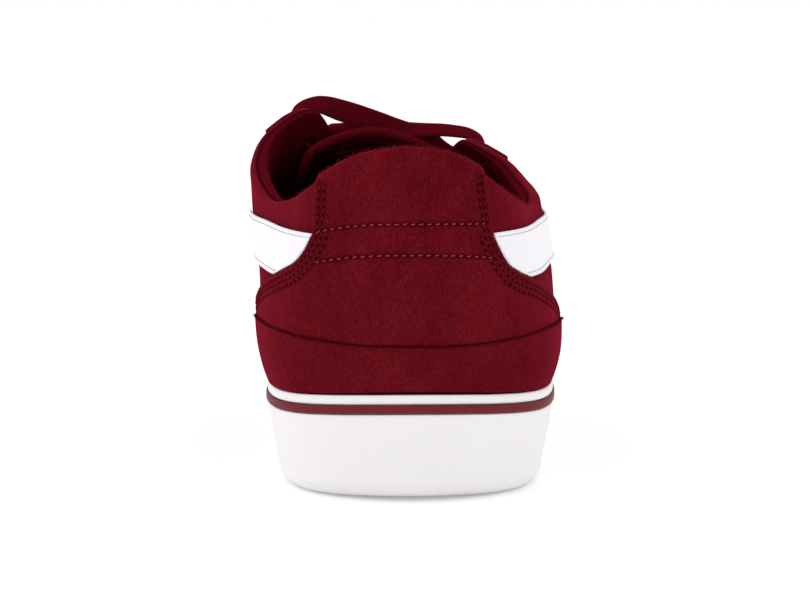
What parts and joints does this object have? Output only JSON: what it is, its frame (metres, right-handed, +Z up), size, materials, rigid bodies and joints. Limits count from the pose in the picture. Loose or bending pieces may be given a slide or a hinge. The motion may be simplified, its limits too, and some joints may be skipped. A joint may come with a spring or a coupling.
{
  "type": "skateboarding shoe",
  "caption": "Low-top suede skateboarding shoe on a smooth white cup sole, with a raised heel tab, padded collar and flat lace.",
  "frame": {"origin": "on the ground under the middle of the shoe's box", "axes": "+Y from heel to toe, +Z up, +X towards the lateral side of this right shoe"},
  "size_m": [0.1062, 0.302, 0.1095],
  "materials": {
    "white_rubber": "matte",
    "red_rubber": "satin",
    "maroon_suede": "napped",
    "white_leather": "smooth",
    "maroon_lining": "matte",
    "maroon_lace": "woven"
  },
  "bodies": {
    "root": {"cupsole": "white_rubber", "sole_stripe": "red_rubber", "insole": "maroon_lining", "upper": "maroon_suede", "heel_counter": "maroon_suede", "heel_foxing": "maroon_suede", "eyestay_medial": "maroon_suede", "eyestay_lateral": "maroon_suede", "side_band_medial": "white_leather", "side_band_lateral": "white_leather", "tongue": "maroon_suede", "lace_bar": "maroon_lace", "lace_cross_1": "maroon_lace", "lace_cross_2": "maroon_lace", "lace_cross_3": "maroon_lace", "lace_cross_4": "maroon_lace", "lace_cross_5": "maroon_lace"}
  },
  "joints": []
}
